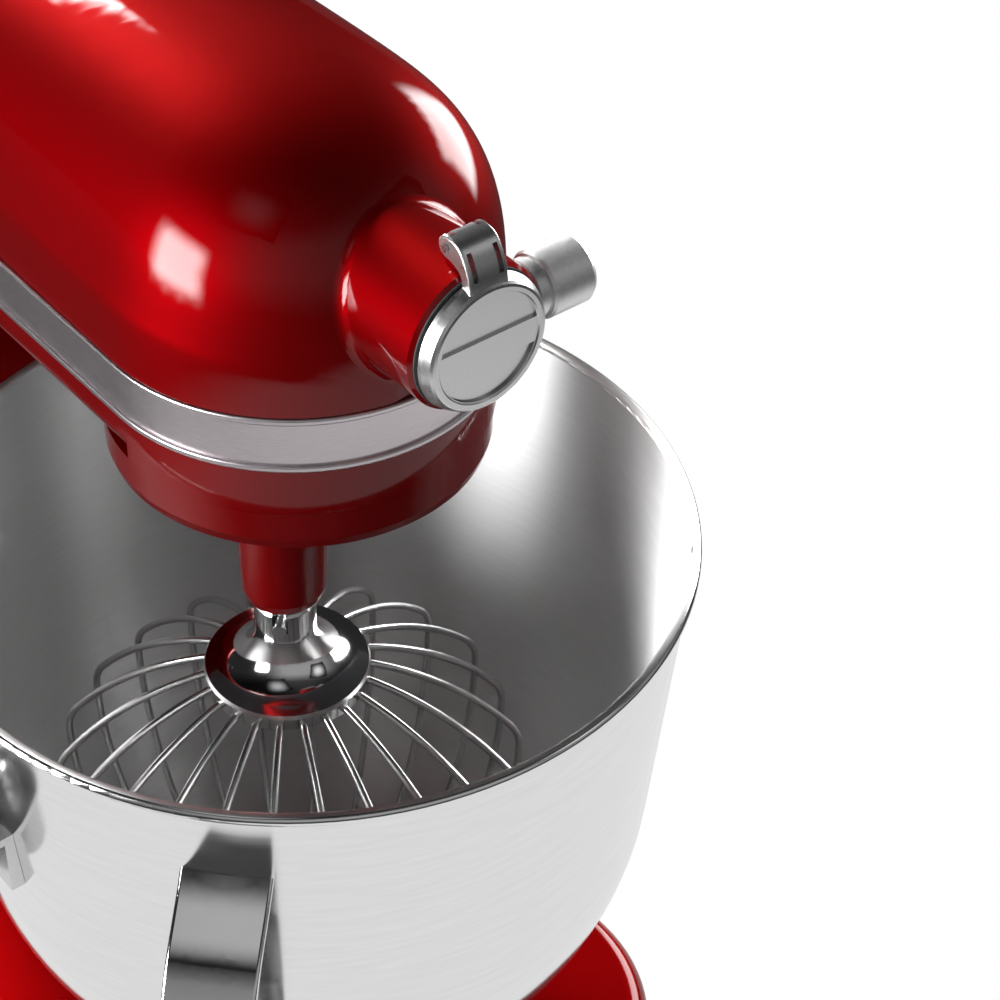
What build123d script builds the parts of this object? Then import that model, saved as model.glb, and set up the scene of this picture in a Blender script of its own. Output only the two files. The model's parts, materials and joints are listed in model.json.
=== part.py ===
import os
from math import acos, asin, atan2, cos, degrees, dist, hypot, pi, radians, sin, sqrt, tan
from build123d import *

# Stand mixer of the bowl-lift type. Millimetres, Z up, front towards -Y.
# The pieces are drawn with the planetary axis at x = y = 0 and the feet on z = 0.
# The saved pieces are moved forward by frame_y, so the origin lies under the middle of the whole mixer.
frame_y = 65.8

# Head
head_half = 59.3
band_low = 327.4
band_high = 346.0
head_rise = 70.0
split_y = 205.0
rear_y = 245.0
wall = 4.0

# Gearcase under the band
case_half = 58.0
case_low = 311.4
skirt_inner = 53.2

# Attachment hub
hub_z = 375.5
hub_radius = 21.5
hub_face = -79.6
neck_fillet = 4.0
hub_bore = 15.4
hinge_y = -74.5
hinge_z = 402.8
hinge_slot = 4.1
knob_y = -70.9

# Planetary and beater
planet_radius = 57.2
planet_low = 296.0
planet_high = 310.6
orbit = 35.25
beater_x = -orbit * sqrt(0.5)
beater_y = -orbit * sqrt(0.5)
boss_low = 262.0
beater_radius = 6.3

# Gear train
ring_module = 1.5
ring_teeth = 62
pinion_teeth = 15
spur_module = 1.25
centre_teeth = 50
drive_teeth = 15
wheel_x = 26.0
wheel_y = sqrt((spur_module * (centre_teeth + drive_teeth) / 2) ** 2 - wheel_x ** 2)
bevel_teeth = 45
hub_teeth = 30
bevel_radius = 30.0
hub_gear_radius = 20.0
worm_module = 1.5
wheel_teeth = 24
worm_radius = 8.0
motor_z = 372.0
speed_y = 120.0

# Whisk
bell_radius = 25.3
bell_low = 229.0
wire_count = 11
wire_radius = 1.15
wire_step = 2.45
whisk_low = 71.5
whisk_reach = 74.5
whisk_shoulder = 189.0
shoulder_bend = 16.0
side_bend = 171.5

# Bowl
rim_z = 258.0
rim_radius = 120.4
bowl_low = 62.0
bowl_wall = 1.4
handle_turn = -46.6
handle_width = 26.5

# Lift
column_half = 52.0
column_front = 131.0
column_back = 203.0
pin_x = 132.0
lift_y = 165.0
lift_z = 187.0
crank = 18.0

# Foot
foot_low = 5.0
foot_high = 21.5
foot_width = 221.0
foot_front = -100.0
foot_rear = 232.0
foot_wall = 10.0


def cyl(radius, low, high, x=0.0, y=0.0):
    return Pos(x, y, (low + high) / 2) * Cylinder(radius, high - low)


def rod_x(radius, start, end, y, z):
    return Pos((start + end) / 2, y, z) * Rot(0, 90, 0) * Cylinder(radius, end - start)


def rod_y(radius, start, end, x, z):
    return Pos(x, (start + end) / 2, z) * Rot(90, 0, 0) * Cylinder(radius, end - start)


def slab(x0, x1, y0, y1, z0, z1):
    return Pos((x0 + x1) / 2, (y0 + y1) / 2, (z0 + z1) / 2) * Box(x1 - x0, y1 - y0, z1 - z0)


def spun(points, x=0.0, y=0.0):
    # Solid of revolution about a vertical axis from straight (radius, z) points.
    face = make_face(Polyline([(r, 0, z) for r, z in points], close=True))
    return Pos(x, y, 0) * revolve(face, Axis.Z)


def spun_y(points, z):
    # Solid of revolution about an axis along Y from straight (radius, y) points.
    face = make_face(Polyline([(r, y, 0) for r, y in points], close=True))
    return Pos(0, 0, z) * revolve(face, Axis.Y)


def u_plan(half, back):
    nose = ThreePointArc((-half, 0), (0, -half), (half, 0))
    sides = Polyline((half, 0), (half, back), (-half, back), (-half, 0))
    return make_face([nose, *sides.edges()])


def u_block(half, back, low, high):
    return Pos(0, 0, low) * extrude(u_plan(half, back), high - low)


def group(solids):
    return Compound(children=list(solids))


# Gear outlines

def involute(angle):
    return tan(angle) - angle


def flank_angle(radius, pitch_radius, thick):
    base = pitch_radius * cos(radians(20))
    near = acos(min(1.0, base / max(radius, base)))
    return thick / (2 * pitch_radius) + involute(radians(20)) - involute(near)


def gear_face(teeth, module, thick, addendum, dedendum, turn, inner=False):
    # Involute outline. The turn is the direction of one tooth, or of one space on an inner gear.
    pitch_radius = teeth * module / 2
    width = pi * module * (1 - thick if inner else thick)
    grow = dedendum if inner else addendum
    shrink = addendum if inner else dedendum
    radii = [pitch_radius + (k / 3) * (grow + shrink) - shrink for k in range(4)]
    points = []
    for tooth in range(teeth):
        middle = radians(turn) + 2 * pi * tooth / teeth
        rise = [(r, middle - flank_angle(r, pitch_radius, width)) for r in radii]
        fall = [(r, middle + flank_angle(r, pitch_radius, width)) for r in reversed(radii)]
        points += [(r * cos(a), r * sin(a)) for r, a in rise + fall]
    return make_face(Polyline(points, close=True))


def spur(teeth, module, thick, turn, low, high, bore):
    face = gear_face(teeth, module, thick, 0.9 * module, 1.25 * module, turn)
    return Pos(0, 0, low) * extrude(face, high - low) - cyl(bore, low - 1, high + 1)


def bevel(teeth, pitch_radius, apex, turn, depth, scale):
    # Teeth that shrink towards the cone apex; the wide end lies at z = 0 and the apex above it.
    module = 2 * pitch_radius / teeth
    wide = gear_face(teeth, module, 0.38, 0.7 * module, 1.1 * module, turn)
    small = Pos(0, 0, depth) * wide.scale(scale)
    assert abs(scale - (1 - depth / apex)) < 1e-6
    return loft([wide, small], ruled=True)


# Foot, column and lift parts

def foot_block():
    plan = Pos(0, (foot_front + foot_rear) / 2) * RectangleRounded(foot_width, foot_rear - foot_front, 62)
    notch = Pos(0, -70) * Rectangle(68, 140) + Circle(34)
    plan = plan - notch
    tips = [v for v in plan.vertices() if abs(v.Y - foot_front) < 0.1 and abs(v.X) < 40]
    plan = fillet(tips, 13)
    body = Pos(0, 0, foot_low) * extrude(plan, foot_high - foot_low)
    body = fillet(body.faces().sort_by(Axis.Z)[-1].edges(), 9)
    return body - Pos(0, 0, foot_low - 1) * extrude(offset(plan, -foot_wall), 8)


def column_plan(z, half, front, back, radius):
    return Pos(0, (front + back) / 2, z) * RectangleRounded(2 * half, back - front, radius)


def stand_casting():
    low = [(12, 88, 108, 228, 46), (26, 74, 120, 220, 40), (50, 60, 128, 210, 28),
           (85, 53, 130.8, 204, 19), (110, column_half, column_front, column_back, 18)]
    skirt = loft([column_plan(*row) for row in low])
    shaft = extrude(column_plan(110, column_half, column_front, column_back, 18), 155)
    high = [(265, column_half, column_front, column_back, 18), (280, 52.4, 130.6, 203, 18),
            (case_low, 57, 124, 203.5, 14)]
    head = loft([column_plan(*row) for row in high])
    body = foot_block() + skirt + shaft + head
    body += rod_x(15, 40, 57, lift_y, lift_z)
    hollow = extrude(column_plan(40, 44, 137, 197, 4), 262)
    body -= hollow
    body -= slab(-13, 13, 125, 140, 138, 230)
    body -= rod_x(9.3, 30, 60, lift_y, lift_z)
    for x, y in screw_spots():
        body -= cyl(3.1, 295, 320, x, y)
    for x, y in foot_spots():
        body += cyl(14, foot_low, foot_low + 9, x, y) - cyl(5.0, 0, 10.5, x, y)
    return body


def foot_spots():
    return [(-84, -50), (84, -50), (-80, 190), (80, 190)]


def screw_spots():
    return [(-34, 147), (34, 147), (-34, 187), (34, 187)]


def rubber_feet():
    feet = []
    for x, y in foot_spots():
        pad = spun([(0, 0), (11, 0), (13, 1.5), (13, 5), (5, 5), (5, 10.5), (0, 10.5)], x, y)
        feet.append(pad)
    return group(feet)


def housing_screws():
    screws = []
    for x, y in screw_spots():
        screws.append(cyl(3.1, 300, 314.5, x, y) + cyl(6, 297, 302, x, y) - cyl(2.2, 290, 299, x, y))
    return group(screws)


def lever_bush():
    return rod_x(9.3, 44, 57.4, lift_y, lift_z) - rod_x(7.06, 40, 60, lift_y, lift_z)


def guide_rods():
    rods = []
    for x in (-32, 32):
        rods.append(cyl(5, 120, 262, x, 144) + slab(x - 7, x + 7, 137, 144, 252, 262)
                    + slab(x - 7, x + 7, 137, 144, 120, 130))
    return group(rods)


def lift_yoke():
    plate = slab(-46, 46, 126.4, 130.7, 176, 232)
    plate = fillet(plate.edges().filter_by(Axis.Y), 8)
    arms = cyl(138, 184, 204) - cyl(126, 180, 210)
    arms &= slab(-160, 160, -1, 130.7, 184, 204)
    for side in (-1, 1):
        arms += cyl(11, 184, 204, side * pin_x, 0)
    tongue = slab(-12.6, 12.6, 129, 144, 180, 224) + slab(-42, 42, 138, 150.5, 180, 224)
    for side in (-1, 1):
        tongue -= cyl(5.3, 170, 230, side * 32, 144)
    cheek = slab(-9, -2, 144, 193, 194, 219) - slab(-10, -1, 158, 189, 200, 213.5)
    body = plate + arms - slab(-12, 12, 120, 126.4, 170, 240) + tongue + cheek
    for side in (-1, 1):
        body -= cyl(4, 194, 210, side * pin_x, 0)
    return body


def yoke_pins():
    pins = []
    for side in (-1, 1):
        pin = spun([(0, 194), (4, 194), (4, 217), (2.6, 219), (0, 219)], side * pin_x, 0)
        pins.append(pin)
    return group(pins)


def bowl_latch():
    strip = slab(-11, 11, 124.8, 126.4, 180, 228)
    lip = slab(-11, 11, 121.4, 126.4, 226, 228.4)
    heads = [rod_y(3.2, 123.2, 124.8, x, 186) for x in (-6, 6)]
    return strip + lip + heads[0] + heads[1]


def lift_shaft():
    body = rod_x(7, 3, 66, lift_y, lift_z)
    arm = slab(3, 10, lift_y - 6, lift_y + 6, lift_z, lift_z + crank)
    arm += rod_x(10, 3, 10, lift_y, lift_z) + rod_x(6, 3, 10, lift_y, lift_z + crank)
    return body + arm + rod_x(3, -9, 4, lift_y, lift_z + crank)


def lift_lever():
    boss = rod_x(12, 57.8, 67, lift_y, lift_z)
    path = Spline((62, lift_y, lift_z), (64, lift_y, lift_z + 30), (74, lift_y, lift_z + 66),
                  tangents=((0, 0, 1), (0.3, 0, 1)))
    arm = sweep(Plane((62, lift_y, lift_z), z_dir=(0, 0, 1)) * RectangleRounded(7, 15, 3), path)
    return fillet(boss.edges(), 1.5) + arm - rod_x(7, 50, 66, lift_y, lift_z)


def lift_knob():
    side = ThreePointArc((7, 0), (12, 12.5), (8.6, 28.5))
    rest = Polyline((8.6, 28.5), (0, 28.5), (0, 0), (7, 0))
    knob = revolve(Plane.XZ * make_face([side, *rest.edges()]), Axis.Z)
    knob = fillet(knob.edges().group_by(Axis.Z)[-1], 6)
    return Pos(74, lift_y, lift_z + 66) * Rot(0, 16.7, 0) * knob


# Bowl

def bowl_curve(grow):
    # Floor bend, cone, upper bend and straight wall as radius and height, each tangent to the last.
    floor_bend = JernArc((46, bowl_low - grow), (1, 0), 45.5 + grow, 60.3)
    cone = Line(floor_bend @ 1, floor_bend @ 1 + 26.9 * (floor_bend % 1))
    high_bend = JernArc(cone @ 1, cone % 1, 112.3 + grow, 25.8)
    end = high_bend @ 1
    lean = high_bend % 1
    side = Line(end, end + (rim_z - end.Y) / lean.Y * lean)
    return [floor_bend, cone, high_bend, side]


def bowl_body(grow):
    wall_line = bowl_curve(grow)
    top = wall_line[-1] @ 1
    low = wall_line[0] @ 0
    rest = Polyline(top, (0, top.Y), (0, low.Y), low)
    face = make_face([*wall_line, *rest.edges()])
    return Rot(0, 0, -60) * revolve(Plane.XZ * face, Axis.Z)


def bowl_shell():
    bead = Pos(0, 0, rim_z - 0.4) * Torus(rim_radius + 0.15, 1.85)
    return bowl_body(0) - bowl_body(-bowl_wall) + bead


def bowl_handle():
    # The strap leaves the bowl under the rim, falls outwards, turns down and comes back in.
    start = (112, 0, 234.5)
    lean = (0.75, 0, -0.66)
    path = Spline(start, (124.5, 0, 224.8), (137, 0, 217.2), (147.5, 0, 206), (151.5, 0, 187), (147, 0, 165),
                  (132, 0, 148.5), (106, 0, 141), tangents=(lean, (-1, 0, -0.15)))
    profile = Plane(start, x_dir=(0, 1, 0), z_dir=lean) * RectangleRounded(handle_width, 2.8, 1.1)
    strap = sweep(profile, path)
    strap = Rot(0, 0, handle_turn - 90) * strap
    return strap - bowl_body(0)


def bowl_brackets():
    tabs = []
    for side in (-1, 1):
        inner = side * 111
        shelf = slab(min(inner, side * 144), max(inner, side * 144), -13, 13, 204.2, 207.2)
        shelf = fillet(shelf.edges().filter_by(Axis.Z).group_by(Axis.X)[-1 if side > 0 else 0], 10)
        flange = slab(min(inner, side * 119), max(inner, side * 119), -13, 13, 184, 207.2)
        tab = shelf + flange - cyl(4.3, 190, 220, side * pin_x, 0) - bowl_body(0)
        tabs.append(tab)
    back = slab(-9, 9, 110, 121.2, 204, 220) - bowl_body(0)
    tabs.append(back)
    return group(tabs)


# Gearcase, head shell and band

def gearcase_housing():
    side = make_face(Polyline((-case_half, 0, case_low), (case_half, 0, case_low), (case_half, 0, band_low),
                              (-case_half, 0, band_low), close=True))
    tub = extrude(side, split_y, dir=(0, 1, 0))
    tub = fillet([e for e in tub.edges().filter_by(Axis.Y) if e.center().Z < case_low + 1], 8)
    nose = u_block(case_half, 1, case_low, band_low)
    body = tub + nose + u_block(56.4, split_y, band_low, band_high)
    body -= u_block(52.4, split_y - 4, 328, band_high + 1)
    body -= slab(-52.4, 52.4, 62, split_y - 4, 317, 329)
    body -= cyl(skirt_inner, case_low - 1, 323)
    body -= cyl(8.2, 320, 330)
    body += cyl(11, 320, 333, wheel_x, wheel_y) & slab(-60, 60, -60, 60, 323, 333)
    body -= cyl(4.05, 324, 340, wheel_x, wheel_y)
    body -= slab(-60, -50, 112, 178, 333, 341)
    for x, y in screw_spots():
        body -= cyl(3.1, 310, 314.5, x, y)
    return body


def band_strip():
    field = u_block(59.0, split_y - 0.4, band_low + 0.2, band_high - 0.2)
    for low in (band_low + 0.2, band_high - 2.4):
        bead = u_block(60.0, split_y - 0.4, low, low + 2.2)
        outer = [e for e in bead.edges() if abs(e.center().X) > 55 or e.center().Y < -30]
        outer = [e for e in outer if e.bounding_box().size.Z < 0.01]
        field += fillet(outer, 0.7)
    return field - u_block(56.5, split_y, band_low, band_high) - slab(-62, -50, 114, 176, 334, 340)


def head_half_width(y):
    if y <= 0:
        return sqrt(max(0.0, head_half ** 2 - y ** 2))
    return head_half - 0.012 * y


def head_height(y):
    crest = 37.5
    if y < crest:
        part = (crest - y) / (crest + head_half)
        return head_rise * (1 - part ** 3.34) ** (1 / 2.49)
    return head_rise * (1 - 0.04 * ((y - crest) / 150) ** 2)


def arch(y, half, rise, low, power_x=2.46, power_z=2.71):
    # Upper half of a superellipse, from +X over the top to -X.
    points = []
    for k in range(15):
        t = pi * k / 14
        c = cos(t)
        x = half * abs(c) ** (2 / power_x) * (1 if c >= 0 else -1)
        points.append((x, y, low + rise * sin(t) ** (2 / power_z) if 0 < k < 14 else low))
    sign = 1 if rise > 0 else -1
    return Spline(points, tangents=((0, 0, sign), (0, 0, -sign)))


def head_section(y, inset):
    half = head_half_width(y) - inset
    rise = head_height(y) - inset
    return make_face([arch(y, half, rise, band_high),
                      Line((-half, y, band_high), (half, y, band_high))])


def head_shell(inset, first, back):
    front = [-head_half * cos(radians(a)) for a in (9, 20, 32, 45, 60, 75, 90)]
    rows = [y for y in front if y > first] + [back * k / 11 for k in range(1, 12)]
    return loft([head_section(y, inset) for y in rows])


def hub_root(edge):
    # Edges that lie on the hub's cylinder where it leaves the nose.
    spots = [edge @ t for t in (0.1, 0.35, 0.6, 0.9)]
    on_neck = all(abs(hypot(p.X, p.Z - hub_z) - hub_radius) < 0.05 for p in spots)
    return on_neck and all(hub_face + 5 < p.Y < -25 for p in spots) and abs(spots[0].Y - spots[2].Y) > 0.2


def motor_housing():
    shell = head_shell(0, -70, split_y)
    neck = spun_y([(0, -20), (hub_radius, -20), (hub_radius, hub_face + 1), (hub_radius - 1, hub_face), (0, hub_face)],
                  hub_z)
    shell = shell + neck
    roots = [e for e in shell.edges() if hub_root(e)]
    shell = fillet(roots, neck_fillet)
    body = shell - head_shell(wall, -45, split_y + 1)
    body += (rod_y(hub_radius, -60, -35.5, 0, hub_z) & head_shell(1, -70, split_y))
    body += hinge_lugs()
    body -= rod_y(17.5, hub_face - 1, -39.5, 0, hub_z)
    body -= rod_y(12.0, -45, -20, 0, hub_z)
    body -= rod_x(4.3, 10, 30, knob_y, hub_z)
    for side in (-1, 1):
        body -= rod_x(6.5, min(side * 46, side * 62), max(side * 46, side * 62), 174, motor_z)
    # The rim that sits on the trim band is faced flat.
    return body - slab(-70, 70, -70, split_y + 5, band_low, band_high + 0.02)


def hinge_lugs():
    lugs = None
    for x in (-hinge_slot, hinge_slot):
        lug = rod_x(2.4, x - 0.45, x + 0.45, hinge_y, hinge_z)
        lug += slab(x - 0.45, x + 0.45, hinge_y - 2.2, hinge_y + 2.2, 391, hinge_z)
        lugs = lug if lugs is None else lugs + lug
    return lugs - rod_x(1.2, -12, 12, hinge_y, hinge_z)


def rear_section(y, scale, shift):
    half = head_half_width(split_y) * scale
    middle = band_high + shift
    rise = head_height(split_y) * scale
    drop = (band_high - case_low) * scale
    upper = arch(y, half, rise, middle)
    lower = arch(y, half, -drop, middle, 5, 5)
    return make_face([upper, lower])


def rear_cover():
    rows = [(split_y + 0.3, 1.0, 0), (215, 0.995, 0), (226, 0.955, 1), (236, 0.86, 2), (242, 0.72, 4), (rear_y, 0.5, 6)]
    body = loft([rear_section(*row) for row in rows])
    rows = [(split_y + 0.2, 0.93, 0), (215, 0.925, 0), (226, 0.88, 1), (234, 0.77, 2), (239, 0.6, 4)]
    body -= loft([rear_section(*row) for row in rows])
    for k in range(5):
        body -= slab(-24 + 12 * k - 2.5, -24 + 12 * k + 2.5, 210, 236, 300, 318)
    body -= rod_y(6.5, 225, 260, 24, 334)
    body -= rod_y(2.6, 225, 260, 0, 362)
    return body


def rear_cover_screw():
    head = rod_y(5, rear_y, rear_y + 2, 0, 362)
    head -= slab(-6, 6, rear_y + 0.9, rear_y + 3, 361.4, 362.6)
    return head + rod_y(2.6, 206, rear_y, 0, 362)


def cord_grommet():
    ring = spun_y([(3.6, 230), (9, 230), (9, 233), (6.5, 233), (6.5, 246), (8.5, 246), (7, 254), (3.6, 254)], 334)
    return Pos(24, 0, 0) * ring


def brush_caps():
    caps = []
    for side in (-1, 1):
        cap = rod_x(6.4, *sorted((side * 49.2, side * 57.4)), 174, motor_z)
        cap += rod_x(8.2, *sorted((side * 56.9, side * 59.2)), 174, motor_z)
        caps.append(cap - slab(*sorted((side * 58.2, side * 60)), 167, 181, motor_z - 0.8, motor_z + 0.8))
    return group(caps)


# Hub parts

def hub_gasket():
    return spun_y([(17.6, hub_face), (20.4, hub_face), (20.4, hub_face - 0.6), (17.6, hub_face - 0.6)], hub_z)


def hub_sleeve():
    sleeve = rod_y(17.5, hub_face, -39.5, 0, hub_z) - rod_y(hub_bore, hub_face - 1, -30, 0, hub_z)
    return sleeve - rod_x(4.3, 10, 30, knob_y, hub_z)


def hub_bush():
    return rod_y(12.0, -39.5, -33, 0, hub_z) - rod_y(8.06, -45, -25, 0, hub_z)


def hub_hinge_pin():
    return rod_x(1.2, -6.9, 6.9, hinge_y, hinge_z)


def hinge_tab(back):
    # Side outline of the tab: front face, rolled top round the pin, hollow underside.
    knuckle = 3.3
    crest = (0, hinge_y, hinge_z + knuckle)
    heel = (0, hinge_y, hinge_z - knuckle)
    front = Spline((0, -84.8, 389), (0, -83.7, 398), (0, -80.4, 404), crest, tangents=((0, 0, 1), (0, 1, 0)))
    roll = ThreePointArc(crest, (0, hinge_y + knuckle, hinge_z), heel)
    throat = (0, back, 395.4)
    under = Spline(heel, (0, -78.2, 398.5), throat, tangents=((0, -1, 0), (0, 0, -1)))
    base = Polyline(throat, (0, back, 389), (0, -84.8, 389))
    tab = extrude(make_face([front, roll, under, *base.edges()]), 6.2, dir=(1, 0, 0), both=True)
    sides = tab.faces().sort_by(Axis.X)
    outer = [e for e in sides[0].edges() + sides[-1].edges() if e.center().Z > 392]
    return fillet(outer, 0.8)


def hub_cover():
    face = -85.4
    back = hub_face - 0.9
    disc = spun_y([(0, back), (19.4, back), (20.0, back - 0.6), (19.8, back - 1.8), (18.9, face + 0.9),
                   (18.3, face + 0.2), (17.6, face), (16.5, face), (16.1, face + 0.4), (0, face + 0.4)], hub_z)
    field = rod_y(15.9, face - 1, face + 1.2, 0, hub_z)
    bar = slab(-17, 17, face - 2, face + 2, hub_z - 4.6, hub_z + 3.2)
    disc -= field - bar
    disc += hinge_tab(back) - rod_y(17, -95, -70, 0, hub_z)
    for x in (-hinge_slot, hinge_slot):
        disc -= slab(x - 0.75, x + 0.75, -90, -65, 396.6, 403.6)
        disc -= slab(x - 0.75, x + 0.75, hinge_y - 0.4, -65, 395, 410)
        disc -= rod_x(2.8, x - 0.75, x + 0.75, hinge_y, hinge_z)
    return disc - rod_x(1.3, -12, 12, hinge_y, hinge_z)


def hub_knob():
    rows = [(3.9, 22.0), (8.0, 22.0), (8.5, 22.5), (8.5, 25.0), (8.0, 25.3), (8.0, 26.0), (9.0, 26.2), (9.6, 27.0),
            (9.6, 39.6), (8.8, 40.8), (0, 41.2), (0, 36), (3.9, 36)]
    face = make_face(Polyline([(r, 0, x) for r, x in rows], close=True))
    return Pos(0, knob_y, hub_z) * Rot(0, 90, 0) * revolve(face, Axis.Z)


def hub_knob_screw():
    return rod_x(3.9, 16.2, 36, knob_y, hub_z)


def hub_drive_shaft():
    shaft = rod_y(8.0, -39, -16, 0, hub_z)
    return shaft - slab(-4.7, 4.7, -40, -24, hub_z - 4.7, hub_z + 4.7)


def hub_gear():
    apex = bevel_radius
    teeth = bevel(hub_teeth, hub_gear_radius, apex, 90 + 180 / hub_teeth, 9, 1 - 9 / apex)
    blank = teeth + cyl(17, -2.5, 0.5)
    return Pos(0, -bevel_radius, hub_z) * Rot(-90, 0, 0) * blank - rod_y(8.0, -50, 0, 0, hub_z)


# Planetary

def planetary_housing():
    rim = spun([(0, planet_high), (planet_radius, planet_high), (planet_radius, planet_low + 5),
                (planet_radius - 0.8, planet_low + 2), (planet_radius - 2.2, planet_low + 0.6),
                (planet_radius - 4, planet_low), (0, planet_low)])
    rim -= spun([(14, 302), (52, 302), (52, 312), (14, 312)])
    boss = spun([(0, 298), (13.2, 298), (13.2, 290), (12.5, 266), (11.6, 263), (10, boss_low), (0, boss_low)],
                beater_x, beater_y)
    body = rim + boss + cyl(13.5, 300, planet_high, beater_x, beater_y) + cyl(13.5, 300, 320.5)
    body -= cyl(8.3, 255, 320, beater_x, beater_y)
    return body - cyl(6.0, 300, 325) - rod_x(2, -20, 20, 0, 316)


def beater_bushes():
    bushes = []
    for low in (264, 298):
        bushes.append(cyl(8.3, low, low + 12, beater_x, beater_y) - cyl(beater_radius + 0.06, low - 1, low + 13,
                                                                       beater_x, beater_y))
    return group(bushes)


def planetary_shaft():
    return cyl(6.0, 300, 366.5) - rod_x(2, -8, 8, 0, 316)


def planetary_pin():
    return rod_x(2, -13.3, 13.3, 0, 316)


def centre_gear():
    turn = degrees(atan2(wheel_y, wheel_x))
    gear = spur(centre_teeth, spur_module, 0.42, turn, 334, 342, 6.0)
    return gear + cyl(13, 331.4, 344) - cyl(6.0, 330, 346)


def bevel_gear():
    apex = hub_gear_radius
    depth = 6.0
    teeth = bevel(bevel_teeth, bevel_radius, apex, -90, depth, 1 - depth / apex)
    gear = Pos(0, 0, hub_z - hub_gear_radius) * teeth + cyl(27, 352, 356) + cyl(13, 344, 353)
    dish = spun([(0, 362.6), (19, 362.6), (17, 358), (0, 358)])
    return gear - dish - cyl(6.0, 340, 370)


def ring_gear():
    turn = degrees(atan2(beater_y, beater_x))
    face = gear_face(ring_teeth, ring_module, 0.42, 0.9 * ring_module, 1.25 * ring_module, turn, inner=True)
    return cyl(skirt_inner, 313, 321.4) - Pos(0, 0, 310) * extrude(face, 15)


def planet_pinion():
    turn = degrees(atan2(beater_y, beater_x))
    gear = spur(pinion_teeth, ring_module, 0.42, turn, 313.2, 321.2, beater_radius)
    return Pos(beater_x, beater_y, 0) * gear


def beater_shaft():
    body = cyl(beater_radius, 238, 322, beater_x, beater_y)
    return body - Pos(beater_x, beater_y, 255) * Rot(0, 0, 45) * rod_x(2.1, -20, 20, 0, 0)


def beater_pin():
    return Pos(beater_x, beater_y, 255) * Rot(0, 0, 45) * rod_x(2.1, -10.6, 10.6, 0, 0)


def whisk_bell():
    # Neck, hollow curve, shallow brim and a square edge.
    cove = JernArc((9.3, 249), (0, -1), 14.4, 80)
    brim = (bell_radius - 0.6, bell_low + 5.2)
    rest = Polyline(cove @ 1, brim, (bell_radius, bell_low + 4.2), (bell_radius, bell_low), (20, bell_low),
                    (18.5, bell_low + 1.5), (0, bell_low + 1.5), (0, 260), (8.8, 260), (9.3, 259), (9.3, 249))
    bell = revolve(Plane.XZ * make_face([cove, *rest.edges()]), Axis.Z)
    bell -= cyl(beater_radius, 237.9, 262)
    slot = slab(-12, 12, -2.3, 2.3, 252.8, 262)
    return bell - Rot(0, 0, 45) * slot


def bent(centre, start, turn):
    # Piece of wire bent round a centre, both given as radius and height.
    centre = Vector(centre[0], 0, centre[1])
    start = Vector(start[0], 0, start[1])
    face = Plane(start, x_dir=(0, 1, 0), z_dir=Vector(0, 1, 0).cross(start - centre)) * Circle(wire_radius)
    return revolve(face, Axis(centre, (0, 1, 0)), turn)


def whisk_wire(index):
    # Four tangent arcs a side: out of the bell, round the shoulder, down the side and under the bottom.
    low = whisk_low + wire_step * index
    reach = whisk_reach - 0.25 * index
    root = (19.5, 231.4)
    dip = 15.0
    drop = whisk_shoulder - low
    top = shoulder_centre(reach, root, dip)
    shoulder = (reach - shoulder_bend, whisk_shoulder)
    top_radius = dist(top, root)
    top_dip = degrees(asin((shoulder[0] - top[0]) / (top_radius - shoulder_bend)))
    join = (top[0] + top_radius * sin(radians(top_dip)), top[1] + top_radius * cos(radians(top_dip)))
    inward = side_bend - reach
    bottom_bend = (inward**2 + drop**2 - side_bend**2) / (2 * (drop - side_bend))
    side_turn = degrees(asin((drop - bottom_bend) / (side_bend - bottom_bend)))
    foot = (bottom_bend * cos(radians(side_turn)), low + bottom_bend * (1 - sin(radians(side_turn))))
    half = bent(top, root, top_dip - dip) + bent(shoulder, join, 90 - top_dip)
    half += bent((-inward, whisk_shoulder), (reach, whisk_shoulder), side_turn)
    wire = half + bent((0, low + bottom_bend), foot, 2 * (90 - side_turn)) + mirror(half, Plane.YZ)
    return Rot(0, 0, 180 * index / wire_count) * wire


def shoulder_centre(reach, root, dip):
    # Centre of the top arc that leaves the root at its dip and meets the shoulder bend smoothly.
    gap = (root[0] - reach + shoulder_bend, root[1] - whisk_shoulder)
    across = (-sin(radians(dip)), -cos(radians(dip)))
    along = gap[0] * across[0] + gap[1] * across[1]
    radius = (shoulder_bend**2 - gap[0]**2 - gap[1]**2) / (2 * (along + shoulder_bend))
    return (root[0] + radius * across[0], root[1] + radius * across[1])


def whisk():
    bell = whisk_bell()
    for k in range(wire_count):
        bell -= whisk_wire(k)
    place = Pos(beater_x, beater_y, 0)
    return place * bell, group([place * whisk_wire(k) for k in range(wire_count)])


# Motor and drive

def worm_wheel():
    turn = 180
    wheel = spur(wheel_teeth, worm_module, 0.36, turn, motor_z - 3.5, motor_z + 3.5, 4.0)
    wheel += cyl(9, motor_z - 8, motor_z + 6) - cyl(4.0, 350, 390)
    return Pos(wheel_x, wheel_y, 0) * wheel


def wheel_pinion():
    turn = degrees(atan2(wheel_y, wheel_x)) + 180 + 180 / drive_teeth
    pinion = spur(drive_teeth, spur_module, 0.42, turn, 333.6, 342.4, 4.0)
    return Pos(wheel_x, wheel_y, 0) * (pinion + cyl(6.5, 342.4, 347) - cyl(4.0, 330, 350))


def wheel_shaft():
    return cyl(4.0, 325, 381, wheel_x, wheel_y)


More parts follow.
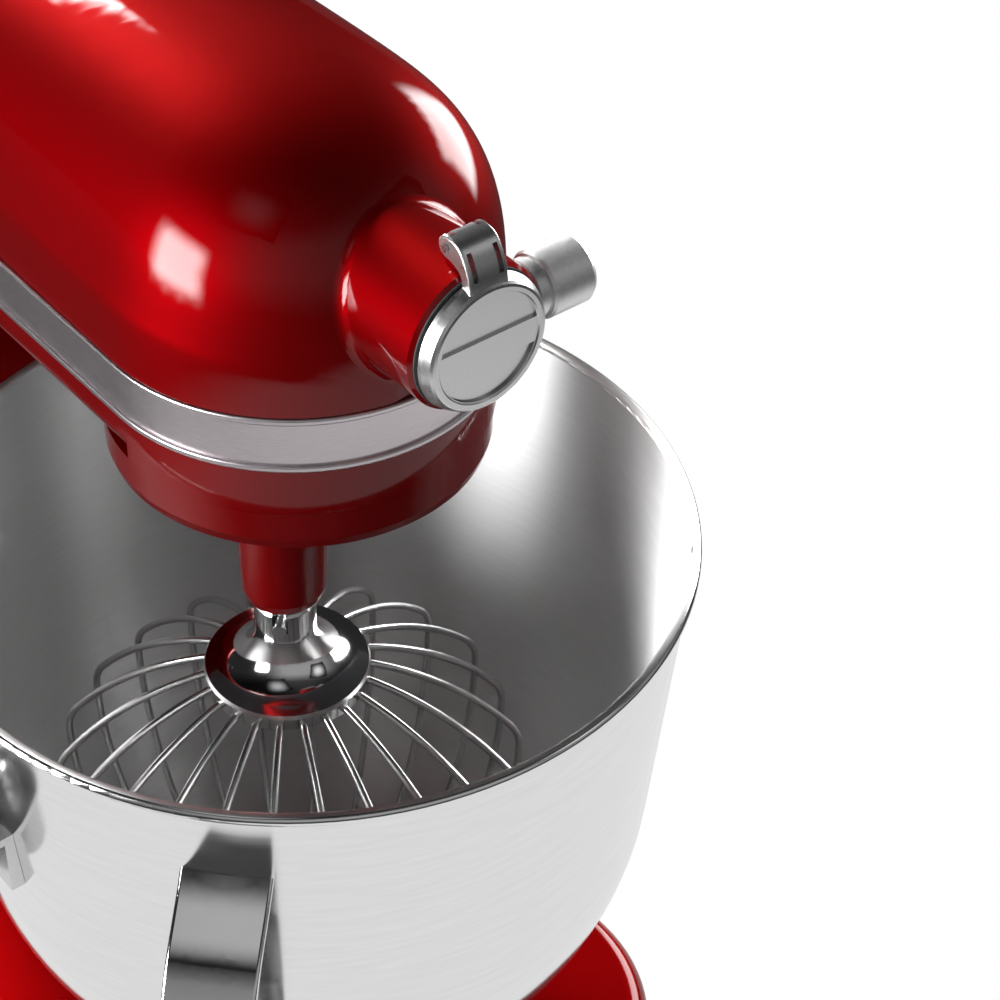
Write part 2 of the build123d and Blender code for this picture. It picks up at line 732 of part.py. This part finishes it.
def motor_shaft():
    # The worm is a single right-hand thread; at y = wheel_y a space faces the wheel tooth.
    lead = pi * worm_module
    turns = 6
    start = wheel_y - lead * turns / 2 + lead / 2
    helix = Helix(lead, lead * turns, worm_radius - 1.9)
    profile = Plane(helix @ 0, x_dir=(1, 0, 0), z_dir=helix % 0) * Polygon((-0.4, -1.1), (-0.4, 1.1), (3.0, 0.55), (3.0, -0.55),
                                                                           align=None)
    thread = sweep(profile, helix, is_frenet=True)
    core = cyl(worm_radius - 1.8, -4, lead * turns + 4)
    worm = Pos(0, start, motor_z) * Rot(-90, 0, 0) * (core + thread)
    return worm + rod_y(5, 8, 190.5, 0, motor_z)


def armature_core():
    core = rod_y(23.5, 96, 160, 0, motor_z)
    for k in range(12):
        slot = slab(19, 25, 90, 166, -1.6, 1.6)
        core -= Pos(0, 0, motor_z) * Rot(0, 30 * k, 0) * slot
    return core - rod_y(5, 80, 170, 0, motor_z)


def commutator():
    body = rod_y(11.5, 165, 183, 0, motor_z)
    for k in range(24):
        body -= Pos(0, 0, motor_z) * Rot(0, 15 * k, 0) * slab(11, 12, 166, 184, -0.3, 0.3)
    return body - rod_y(5, 160, 190, 0, motor_z)


def cooling_fan():
    hub = rod_y(10, 72, 83, 0, motor_z)
    disc = rod_y(27, 72, 74, 0, motor_z)
    fan = hub + disc
    for k in range(9):
        fan += Pos(0, 0, motor_z) * Rot(0, 40 * k, 0) * slab(9, 26.5, 74, 83, -1, 1)
    return fan - rod_y(5, 70, 90, 0, motor_z)


def motor_stator():
    body = rod_y(36, 98, 158, 0, motor_z) - rod_y(24.5, 90, 170, 0, motor_z)
    for side in (-1, 1):
        coil = rod_y(34, 90.5, 165, 0, motor_z) - rod_y(26, 80, 180, 0, motor_z)
        coil &= slab(*sorted((side * 6, side * 40)), 90, 166, motor_z - 17, motor_z + 17)
        body += coil
    for x, z in bolt_spots():
        body -= rod_y(2, 90, 170, x, z)
    return body


def bolt_spots():
    reach = 31 * sqrt(0.5)
    return [(-reach, motor_z + reach), (reach, motor_z + reach)]


def stator_screws():
    screws = []
    for spot in bolt_spots():
        screws.append(rod_y(2, 62, 160, *spot) + rod_y(3.6, 158, 161.2, *spot))
    return group(screws)


def front_bracket():
    body = slab(-44, 44, 62, 68, 317, 400) & rod_y(56, 60, 70, 0, 350)
    for x, z in bolt_spots():
        body -= rod_y(2, 60, 70, x, z)
    return body - rod_y(9, 60, 70, 0, motor_z)


def rear_bracket():
    body = slab(-50, 50, 186, 191, 317, 400) & rod_y(52, 180, 195, 0, 358)
    return body - rod_y(9, 180, 195, 0, motor_z)


def motor_bearings():
    rings = []
    for y in (62, 186):
        rings.append(rod_y(9, y, y + 5, 0, motor_z) - rod_y(5.05, y - 1, y + 6, 0, motor_z))
    return group(rings)


def brush_holders():
    holders = []
    for side in (-1, 1):
        tube = slab(*sorted((side * 12.0, side * 49.2)), 169, 179, motor_z - 6, motor_z + 6)
        holders.append(tube)
    return group(holders)


def control_board():
    board = slab(-30, 30, 191, 193, 320, 362)
    for k in range(4):
        board += slab(-26 + 14 * k, -16 + 14 * k, 193, 198, 324, 334)
    return board + rod_y(7, 193, 208, -12, 354) + rod_y(5, 193, 206, 12, 351)


def centre_bush():
    return cyl(8.2, 323, 330.8) - cyl(6.06, 320, 335)


# Speed lever

def speed_lever():
    plate = slab(-51.6, -48.6, speed_y - 15, speed_y + 15, 331, 343)
    stem = slab(-72, -50, speed_y - 2.5, speed_y + 2.5, 335.2, 338.8)
    return plate + fillet(stem.edges().filter_by(Axis.X), 1.2)


def speed_knob():
    side = ThreePointArc((5.6, 0), (8.4, 8), (6.4, 17))
    rest = Polyline((6.4, 17), (0, 17), (0, 0), (5.6, 0))
    knob = revolve(Plane.XZ * make_face([side, *rest.edges()]), Axis.Z)
    knob = fillet(knob.edges().group_by(Axis.Z)[-1], 4)
    knob = Pos(-66, speed_y, 337) * Rot(0, -90, 0) * knob
    return knob - slab(-72, -50, speed_y - 2.5, speed_y + 2.5, 335.2, 338.8)


def main():
    os.makedirs("parts", exist_ok=True)
    whisk_hub, whisk_wires = whisk()
    nodes = {"whisk_hub": whisk_hub, "whisk_wires": whisk_wires}
    makers = [stand_casting, rubber_feet, housing_screws, lever_bush, guide_rods, lift_yoke, yoke_pins, bowl_latch,
              lift_shaft, lift_lever, lift_knob, bowl_shell, bowl_handle, bowl_brackets, gearcase_housing,
              motor_housing, rear_cover, rear_cover_screw, cord_grommet, brush_caps, hub_gasket, hub_sleeve, hub_bush,
              hub_hinge_pin, hub_cover, hub_knob, hub_knob_screw, hub_drive_shaft, hub_gear, planetary_housing,
              beater_bushes, planetary_shaft, planetary_pin, centre_gear, bevel_gear, ring_gear, planet_pinion,
              beater_shaft, beater_pin, worm_wheel, wheel_pinion, wheel_shaft, motor_shaft, armature_core, commutator,
              cooling_fan, motor_stator, stator_screws, front_bracket, rear_bracket, motor_bearings, brush_holders,
              control_board, centre_bush, speed_lever, speed_knob]
    for maker in makers:
        nodes[maker.__name__] = maker()
    nodes["trim_band"] = band_strip()
    for name, shape in nodes.items():
        export_step(Pos(0, -frame_y, 0) * shape, f"parts/{name}.step")
        print(name, round(shape.volume))


main()
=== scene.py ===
import json
import bpy
import numpy as np
from mathutils import Matrix, Vector


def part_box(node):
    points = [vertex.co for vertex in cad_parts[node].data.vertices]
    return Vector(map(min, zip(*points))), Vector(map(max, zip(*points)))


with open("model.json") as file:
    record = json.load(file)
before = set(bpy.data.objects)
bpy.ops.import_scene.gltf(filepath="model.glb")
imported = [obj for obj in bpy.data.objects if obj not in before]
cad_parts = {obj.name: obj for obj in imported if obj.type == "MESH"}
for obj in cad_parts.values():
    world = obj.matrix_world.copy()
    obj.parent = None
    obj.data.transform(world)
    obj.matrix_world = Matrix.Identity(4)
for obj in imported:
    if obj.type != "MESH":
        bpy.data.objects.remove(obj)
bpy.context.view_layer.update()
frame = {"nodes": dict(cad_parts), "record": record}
nodes = frame["nodes"]
slotOf = {part["node"]: part["material_slot"] for part in frame["record"]["subparts"]}
print("frame loaded with", len(nodes), "nodes")

# The planetary turns about an upright axis at x = 0; the bowl, lights and camera are placed from it
planetLow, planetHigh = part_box("planetary_housing")
axisY = (planetLow.y + planetHigh.y) / 2


# Shader tools

class Sock:  # a value in a node tree; operators add Math nodes
    def __init__(self, finish, socket):
        self.finish = finish
        self.socket = socket

    def maths(self, operation, first, second):
        return self.finish.add("ShaderNodeMath", {"operation": operation}, {0: first, 1: second})

    def __add__(self, other):
        return self.maths("ADD", self, other)

    def __radd__(self, other):
        return self.maths("ADD", other, self)

    def __mul__(self, other):
        return self.maths("MULTIPLY", self, other)

    def __rmul__(self, other):
        return self.maths("MULTIPLY", other, self)


class Finish:  # a node tree with short calls for what this scene uses
    def __init__(self, name, owner=None):
        self.owner = owner or bpy.data.materials.new(name)
        self.owner.use_nodes = True
        self.tree = self.owner.node_tree
        self.shader = self.tree.nodes.get("Principled BSDF")

    def feed(self, socket, value):
        if isinstance(value, Sock):
            self.tree.links.new(value.socket, socket)
        else:
            socket.default_value = value

    def add(self, kind, settings, inputs, output=0):
        node = self.tree.nodes.new(kind)
        for key, value in settings.items():
            if key == "stops":
                while len(node.color_ramp.elements) < len(value):
                    node.color_ramp.elements.new(1.0)
                for element, (place, colour) in zip(node.color_ramp.elements, value):
                    element.position = place
                    element.color = colour
            else:
                setattr(node, key, value)
        for key, value in inputs.items():
            self.feed(node.inputs[key], value)
        return Sock(self, node.outputs[output])

    def coords(self, stretch=(1, 1, 1)):
        place = self.add("ShaderNodeTexCoord", {}, {}, "Object")
        return self.add("ShaderNodeMapping", {}, {"Vector": place, "Scale": stretch})

    def noise(self, scale, detail=2.0, stretch=(1, 1, 1)):
        place = self.coords(stretch)
        return self.add("ShaderNodeTexNoise", {}, {"Vector": place, "Scale": scale, "Detail": detail})

    def blend(self, mask, low, high):
        return self.add("ShaderNodeMix", {"data_type": "RGBA"}, {0: mask, 6: (*low, 1), 7: (*high, 1)}, 2)

    def bump(self, height, strength, distance):
        return self.add("ShaderNodeBump", {}, {"Height": height, "Strength": strength, "Distance": distance})

    def along(self, vector, axis):
        return self.add("ShaderNodeSeparateXYZ", {}, {"Vector": vector}, axis)

    def fade(self, value, start, end, before, after):  # smooth step from one level to another
        levels = {"From Min": start, "From Max": end, "To Min": before, "To Max": after}
        return self.add("ShaderNodeMapRange", {"interpolation_type": "SMOOTHSTEP"}, {"Value": value, **levels})

    def seen(self):  # 1 where the camera looks straight at it
        return self.add("ShaderNodeLightPath", {}, {}, "Is Camera Ray")

    def surface(self, **values):
        for key, value in values.items():
            self.feed(self.shader.inputs[key.replace("_", " ")], value)
        return self.owner

    def glow(self, colour, strength):
        light = self.add("ShaderNodeEmission", {}, {"Color": colour, "Strength": strength})
        self.feed(self.tree.nodes["Material Output"].inputs["Surface"], light)
        return self.owner


# Finishes

def redPaint():
    f = Finish("redPaint")
    flake = f.noise(2600, 1.0)
    cloud = f.noise(18, 3.0)
    tone = f.blend(0.75 * flake + 0.25 * cloud, (0.125, 0.0, 0.0005), (0.22, 0.0002, 0.0018))
    peel = f.bump(f.noise(420, 1.0), 0.012, 0.0002)
    return f.surface(Base_Color=tone, Metallic=0.85, Roughness=0.52 + 0.1 * flake, Specular_IOR_Level=0.1,
                     Specular_Tint=(0.8, 0.0, 0.01, 1), Normal=peel, Coat_Weight=1.0,
                     Coat_Roughness=0.04, Coat_IOR=1.35)


def trimMetal():
    f = Finish("trimMetal")
    grain = f.noise(300, 3.0, (1, 1, 9))
    tone = f.blend(grain, (0.52, 0.47, 0.49), (0.70, 0.65, 0.67))
    return f.surface(Base_Color=tone, Metallic=1.0, Roughness=0.26 + 0.12 * grain)


def brightSteel():
    f = Finish("brightSteel")
    smear = f.noise(35, 4.0)
    tone = f.blend(smear, (0.72, 0.72, 0.72), (0.84, 0.84, 0.84))
    return f.surface(Base_Color=tone, Metallic=1.0, Roughness=0.05 + 0.08 * smear)


def satinSteel():
    f = Finish("satinSteel")
    grain = f.noise(900, 2.0)
    tone = f.blend(grain, (0.60, 0.60, 0.60), (0.70, 0.70, 0.70))
    return f.surface(Base_Color=tone, Metallic=1.0, Roughness=0.2 + 0.08 * grain)


def bowlInside():
    f = Finish("bowlInside")
    grain = f.noise(60, 4.0, (1, 1, 14))
    tone = f.blend(grain, (0.70, 0.70, 0.70), (0.80, 0.80, 0.80))
    around = f.add("ShaderNodeTangent", {"direction_type": "RADIAL", "axis": "Z"}, {})
    return f.surface(Base_Color=tone, Metallic=1.0, Roughness=0.38 + 0.06 * grain, Anisotropic=0.93,
                     Anisotropic_Rotation=0.25, Tangent=around)


def bowlOutside():
    f = Finish("bowlOutside")
    grain = f.noise(50, 3.0, (1, 1, 10))
    tone = f.blend(grain, (0.78, 0.78, 0.78), (0.88, 0.88, 0.88))
    return f.surface(Base_Color=tone, Metallic=1.0, Roughness=0.1 + 0.06 * grain)


def coverMetal():
    f = Finish("coverMetal")
    grain = f.noise(500, 2.0, (5, 1, 1))
    tone = f.blend(grain, (0.56, 0.56, 0.56), (0.68, 0.68, 0.68))
    return f.surface(Base_Color=tone, Metallic=1.0, Roughness=0.24 + 0.12 * grain)


def knobMetal():
    f = Finish("knobMetal")
    grain = f.noise(900, 3.0)
    tone = f.blend(grain, (0.74, 0.74, 0.74), (0.92, 0.92, 0.92))
    fine = f.bump(grain, 0.25, 0.0001)
    return f.surface(Base_Color=tone, Metallic=1.0, Roughness=0.42 + 0.12 * grain, Normal=fine)


def gearSteel():
    f = Finish("gearSteel")
    grain = f.noise(400, 3.0)
    tone = f.blend(grain, (0.30, 0.30, 0.31), (0.50, 0.50, 0.51))
    return f.surface(Base_Color=tone, Metallic=1.0, Roughness=0.3 + 0.15 * grain)


def bearingBronze():
    f = Finish("bearingBronze")
    grain = f.noise(400, 3.0)
    tone = f.blend(grain, (0.48, 0.30, 0.12), (0.68, 0.47, 0.22))
    return f.surface(Base_Color=tone, Metallic=1.0, Roughness=0.35 + 0.15 * grain)


def blackRubber():
    f = Finish("blackRubber")
    grain = f.noise(900, 2.0)
    tone = f.blend(grain, (0.012, 0.012, 0.012), (0.035, 0.035, 0.035))
    return f.surface(Base_Color=tone, Roughness=0.62 + 0.2 * grain, Normal=f.bump(grain, 0.15, 0.0002))


def blackPlastic():
    f = Finish("blackPlastic")
    grain = f.noise(1400, 2.0)
    tone = f.blend(grain, (0.014, 0.014, 0.016), (0.03, 0.03, 0.033))
    return f.surface(Base_Color=tone, Roughness=0.34 + 0.12 * grain, Normal=f.bump(grain, 0.06, 0.0001))


def darkIron():
    f = Finish("darkIron")
    sheets = f.noise(200, 2.0, (0.1, 12, 0.1))
    tone = f.blend(sheets, (0.09, 0.09, 0.10), (0.22, 0.22, 0.23))
    return f.surface(Base_Color=tone, Metallic=0.8, Roughness=0.45 + 0.2 * sheets)


def copperWire():
    f = Finish("copperWire")
    grain = f.noise(700, 2.0)
    tone = f.blend(grain, (0.42, 0.16, 0.07), (0.66, 0.30, 0.14))
    return f.surface(Base_Color=tone, Metallic=1.0, Roughness=0.3 + 0.15 * grain)


def boardGreen():
    f = Finish("boardGreen")
    grain = f.noise(300, 2.0)
    tone = f.blend(grain, (0.015, 0.09, 0.035), (0.03, 0.17, 0.07))
    return f.surface(Base_Color=tone, Roughness=0.4 + 0.2 * grain)


finishes = {
    "red_paint": redPaint(), "trim_metal": trimMetal(), "bright_steel": brightSteel(),
    "satin_steel": satinSteel(), "cover_metal": coverMetal(), "gear_steel": gearSteel(),
    "bearing_bronze": bearingBronze(), "black_rubber": blackRubber(), "black_plastic": blackPlastic(),
    "dark_iron": darkIron(), "copper_wire": copperWire(), "board_green": boardGreen(),
}
for name, node in nodes.items():
    node.data.materials.clear()
    node.data.materials.append(finishes[slotOf[name]])

nodes["hub_knob"].data.materials[0] = knobMetal()
levelFace = 0.9  # a face counts as level when its normal rises or falls by more than this


def faceVectors(mesh, kind):
    values = np.zeros(3 * len(mesh.polygons))
    mesh.polygons.foreach_get(kind, values)
    return values.reshape(-1, 3)


def bowlFaces(node):
    # Faces that look towards the bowl's axis are brushed, the others polished
    mesh = node.data
    centre = faceVectors(mesh, "center") - (0, axisY, 0)
    normal = faceVectors(mesh, "normal")
    outward = (centre[:, :2] * normal[:, :2]).sum(axis=1) > 0
    flatUp = normal[:, 2] > levelFace
    mesh.materials.clear()
    mesh.materials.append(bowlInside())
    mesh.materials.append(bowlOutside())
    mesh.polygons.foreach_set("material_index", (outward & ~flatUp).astype(np.int32))


def planetaryFaces(node):
    # Faces of the planetary that look straight down take the dark iron finish, so its underside is darker than
    # the red paint
    mesh = node.data
    flatDown = faceVectors(mesh, "normal")[:, 2] < -levelFace
    mesh.materials.append(finishes["dark_iron"])
    mesh.polygons.foreach_set("material_index", flatDown.astype(np.int32))


bowlFaces(nodes["bowl_shell"])
planetaryFaces(nodes["planetary_housing"])
print("finishes on every node")


# Studio

studio = {
    "target": (0.0, axisY - 0.03, 0.38),
    # azimuth from the front towards +X, elevation, distance, width, height, brightness, soft edge share
    "leftPanel": (-99, 7, 1.2, 0.80, 0.87, 27.0, 0.55),
    "rightPanel": (101, 9, 1.2, 0.86, 0.74, 12.0, 0.45),
    "backPanel": (172, 26, 1.6, 0.52, 0.66, 58.0, 0.35),
    "handlePanel": (-66, 58, 1.2, 0.72, 0.72, 0.5, 0.95),
    "knobPanel": (40, 30, 1.2, 0.70, 0.70, 0.9, 0.95),
    # middle, radius, soft edge and brightness of the painted pool of light on the floor, then the floor's glow
    # beyond it
    "paintedPool": (0.05, -0.18, 0.46, 0.18, 0.82),
    "floorBeyond": 0.04,
    "floorSize": 12.0,
    # height of a direction and the sky's grey there, then the fall from the front of the sky to its back
    "skyTones": ((0.0, 0.1), (0.3, 0.35), (0.6, 0.35), (0.8, 0.05)),
    "skyFall": (-0.75, 0.1, 1.0, 0.06),
}


def flatPlate(name, width, height, material):
    x, y = width / 2, height / 2
    mesh = bpy.data.meshes.new(name)
    mesh.from_pydata([(-x, -y, 0), (x, -y, 0), (x, y, 0), (-x, y, 0)], [], [(0, 1, 2, 3)])
    mesh.materials.append(material)
    plate = bpy.data.objects.new(name, mesh)
    bpy.context.scene.collection.objects.link(plate)
    return plate


def panelFinish(name, width, height, brightness, edge):
    f = Finish(name)
    place = f.add("ShaderNodeTexCoord", {}, {}, "Object")
    across = f.add("ShaderNodeMath", {"operation": "ABSOLUTE"}, {0: f.along(place, "X")})
    upward = f.add("ShaderNodeMath", {"operation": "ABSOLUTE"}, {0: f.along(place, "Y")})
    sides = f.fade(across, width / 2 * (1 - edge), width / 2, 1.0, 0.0)
    ends = f.fade(upward, height / 2 * (1 - edge), height / 2, 1.0, 0.0)
    return f.glow(sides * ends, brightness)


def softPanel(name, azimuth, elevation, distance, width, height, brightness, edge):
    a, e = np.radians([azimuth, elevation])
    aim = Vector(studio["target"])
    spot = aim + distance * Vector((np.sin(a) * np.cos(e), -np.cos(a) * np.cos(e), np.sin(e)))
    panel = flatPlate(name, width, height, panelFinish(name, width, height, brightness, edge))
    panel.location = spot
    panel.rotation_euler = (spot - aim).to_track_quat("-Z", "Y").to_euler()
    panel.visible_camera = False


def studioWorld():
    world = bpy.data.worlds.new("studioWorld")
    bpy.context.scene.world = world
    f = Finish("studioWorld", world)
    direction = f.add("ShaderNodeTexCoord", {}, {}, "Generated")
    tones = [(height, (grey, grey, grey, 1)) for height, grey in studio["skyTones"]]
    rise = f.add("ShaderNodeValToRGB", {"stops": tones}, {"Fac": f.along(direction, "Z")})
    front = f.fade(f.along(direction, "Y"), *studio["skyFall"])
    white = (1, 1, 1, 1)
    sky = f.add("ShaderNodeMix", {"data_type": "RGBA"}, {0: f.seen(), 6: rise * front, 7: white}, 2)
    f.feed(f.tree.nodes["Background"].inputs["Color"], sky)


def whiteFloor():
    # The floor glows with a painted pool of light round the front of the bowl that falls off beyond; the
    # camera sees it white
    f = Finish("whiteFloor")
    place = f.add("ShaderNodeTexCoord", {}, {}, "Object")
    midX, midY, reach, edge, level = studio["paintedPool"]
    middle = (midX, axisY + midY, 0)
    away = f.add("ShaderNodeVectorMath", {"operation": "DISTANCE"}, {0: place, 1: middle}, "Value")
    # Painted pool of light: the floor glows brightest round the front of the bowl and dimmer beyond
    paintedGlow = f.fade(away, reach, reach + edge, level, studio["floorBeyond"])
    tone = f.add("ShaderNodeMath", {"operation": "MAXIMUM"}, {0: paintedGlow, 1: f.seen()})
    flatPlate("floor", studio["floorSize"], studio["floorSize"], f.glow(tone, 1.0))


for panelName in ("leftPanel", "rightPanel", "backPanel", "handlePanel", "knobPanel"):
    softPanel(panelName, *studio[panelName])
studioWorld()
whiteFloor()


# Camera of the photograph

view = {
    "place": (-0.3028, axisY - 0.4397, 0.7249),
    "azimuth": -41.0, "elevation": 40.61, "roll": 2.25,
    "lens": 82.8, "sensor": 36.0,
}


def photoCamera():
    a, e, r = np.radians([view["azimuth"], view["elevation"], view["roll"]])
    back = Vector((np.sin(a) * np.cos(e), -np.cos(a) * np.cos(e), np.sin(e)))
    right = Vector((np.cos(a), np.sin(a), 0))
    up = back.cross(right)
    side = right * np.cos(r) + up * np.sin(r)
    rise = up * np.cos(r) - right * np.sin(r)
    lens = bpy.data.cameras.new("photoCamera")
    lens.sensor_width = view["sensor"]
    lens.lens = view["lens"]
    camera = bpy.data.objects.new("photoCamera", lens)
    turn = Matrix((side, rise, back)).transposed().to_4x4()
    camera.matrix_world = Matrix.Translation(view["place"]) @ turn
    bpy.context.scene.collection.objects.link(camera)
    bpy.context.scene.camera = camera


photoCamera()
bpy.context.scene.view_settings.view_transform = "Standard"
print("studio and camera set")
